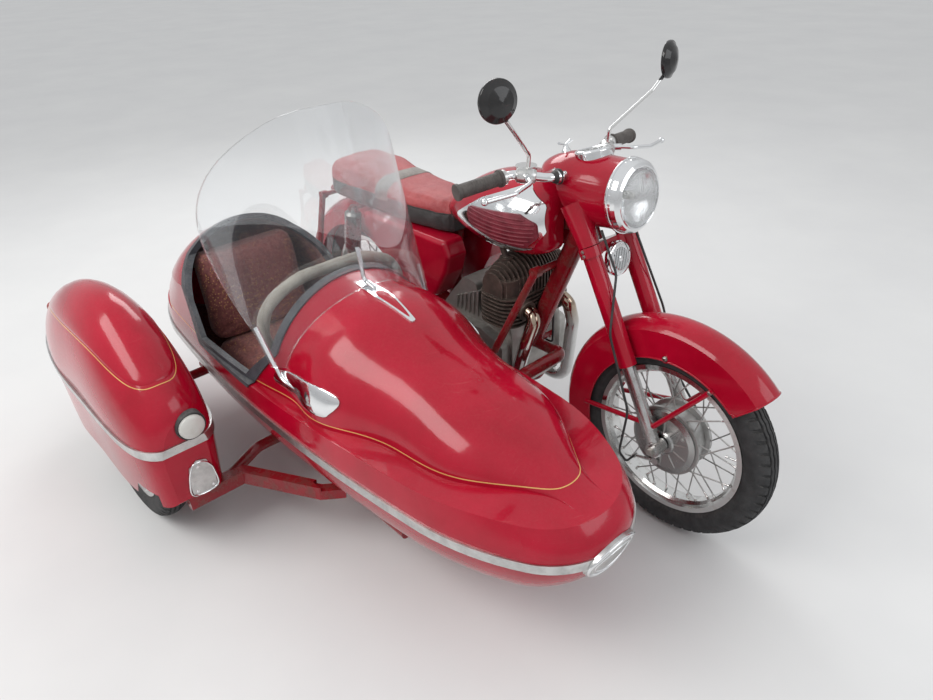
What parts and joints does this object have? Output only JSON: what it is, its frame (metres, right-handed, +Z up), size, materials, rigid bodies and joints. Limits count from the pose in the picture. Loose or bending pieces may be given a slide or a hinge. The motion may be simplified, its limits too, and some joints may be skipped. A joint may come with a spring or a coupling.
{
  "type": "sidecar motorcycle",
  "caption": "Motorcycle with a boat-shaped passenger sidecar on its right side, joined by a tube chassis and running on spoked wheels.",
  "frame": {"origin": "on the floor under the middle of the bounding box", "axes": "+X forward, +Y to the rider's left, +Z up"},
  "size_m": [2.0528, 1.4842, 1.2089],
  "materials": {
    "tyre_rubber": "worn black rubber",
    "wheel_chrome": "bright with light rust specks",
    "hub_alloy": "polished with grey plates",
    "bright_chrome": "polished",
    "red_paint": "glossy deep red",
    "lamp_glass": "clear, ribbed",
    "dial_black": "black face under clear cover",
    "black_rubber": "matt, dusty",
    "mirror_black": "satin black shell",
    "engine_alloy": "cast, dull",
    "dark_iron": "dark brown, worn fin edges",
    "red_rubber": "ribbed dark red",
    "red_leather": "smooth red seat cover",
    "maroon_trim": "dark maroon",
    "grey_pad": "grey-beige padding",
    "screen_clear": "clear acrylic",
    "trim_alloy": "brushed strip",
    "lamp_white": "milky white lens",
    "lamp_red": "clear red lens",
    "black_steel": "satin black"
  },
  "bodies": {
    "chassis": {"frame": "red_paint", "engine": "engine_alloy", "cylinders": "dark_iron", "exhausts": "bright_chrome", "tank": "red_paint", "tank_panels": "bright_chrome", "knee_pads": "red_rubber", "seat": "red_leather", "side_covers": "red_paint", "rear_fender": "red_paint", "swingarm": "red_paint", "shocks": "red_paint", "red_lamps": "lamp_red", "foot_controls": "black_rubber", "clutch_cable": "black_rubber", "hull": "red_paint", "coaming": "black_rubber", "hull_trim": "trim_alloy", "nose_badge": "trim_alloy", "sidecar_cushion": "maroon_trim", "sidecar_backrest": "maroon_trim", "grab_rail": "grey_pad", "windscreen": "screen_clear", "screen_brackets": "bright_chrome", "wheel_pod": "red_paint", "pod_trim": "trim_alloy", "pod_lamp": "lamp_white", "pod_plate": "trim_alloy", "sidecar_frame": "red_paint"},
    "steering": {"fork_sliders": "bright_chrome", "fork_covers": "red_paint", "front_fender": "red_paint", "nacelle": "red_paint", "headlamp_ring": "bright_chrome", "headlamp_lens": "lamp_glass", "instruments": "dial_black", "handlebar": "bright_chrome", "grips": "black_rubber", "levers": "bright_chrome", "mirrors": "mirror_black", "horn": "bright_chrome", "front_cables": "black_rubber"},
    "front_wheel": {"front_tyre": "tyre_rubber", "front_rim": "wheel_chrome", "front_hub": "hub_alloy"},
    "rear_wheel": {"rear_tyre": "tyre_rubber", "rear_rim": "wheel_chrome", "rear_hub": "hub_alloy"},
    "sidecar_wheel": {"sidecar_tyre": "tyre_rubber", "sidecar_rim": "wheel_chrome", "sidecar_hub": "hub_alloy"},
    "centre_stand": {"centre_stand": "black_steel"}
  },
  "joints": [
    {"name": "steer", "type": "hinge", "parent": "chassis", "child": "steering", "pos_m": [0.687, 0.382, 0.26303], "axis": [-0.454, 0, 0.891], "range_deg": [-35, 35]},
    {"name": "front_wheel_spin", "type": "hinge", "parent": "steering", "child": "front_wheel", "pos_m": [0.736, 0.382, 0.288], "axis": [0, 1, 0], "continuous": true},
    {"name": "rear_wheel_spin", "type": "hinge", "parent": "chassis", "child": "rear_wheel", "pos_m": [-0.582, 0.382, 0.288], "axis": [0, 1, 0], "continuous": true},
    {"name": "sidecar_wheel_spin", "type": "hinge", "parent": "chassis", "child": "sidecar_wheel", "pos_m": [-0.384, -0.656, 0.288], "axis": [0, 1, 0], "continuous": true},
    {"name": "stand_swing", "type": "hinge", "parent": "chassis", "child": "centre_stand", "pos_m": [-0.064, 0.382, 0.1617], "axis": [0, -1, 0], "range_deg": [0, 90]}
  ]
}
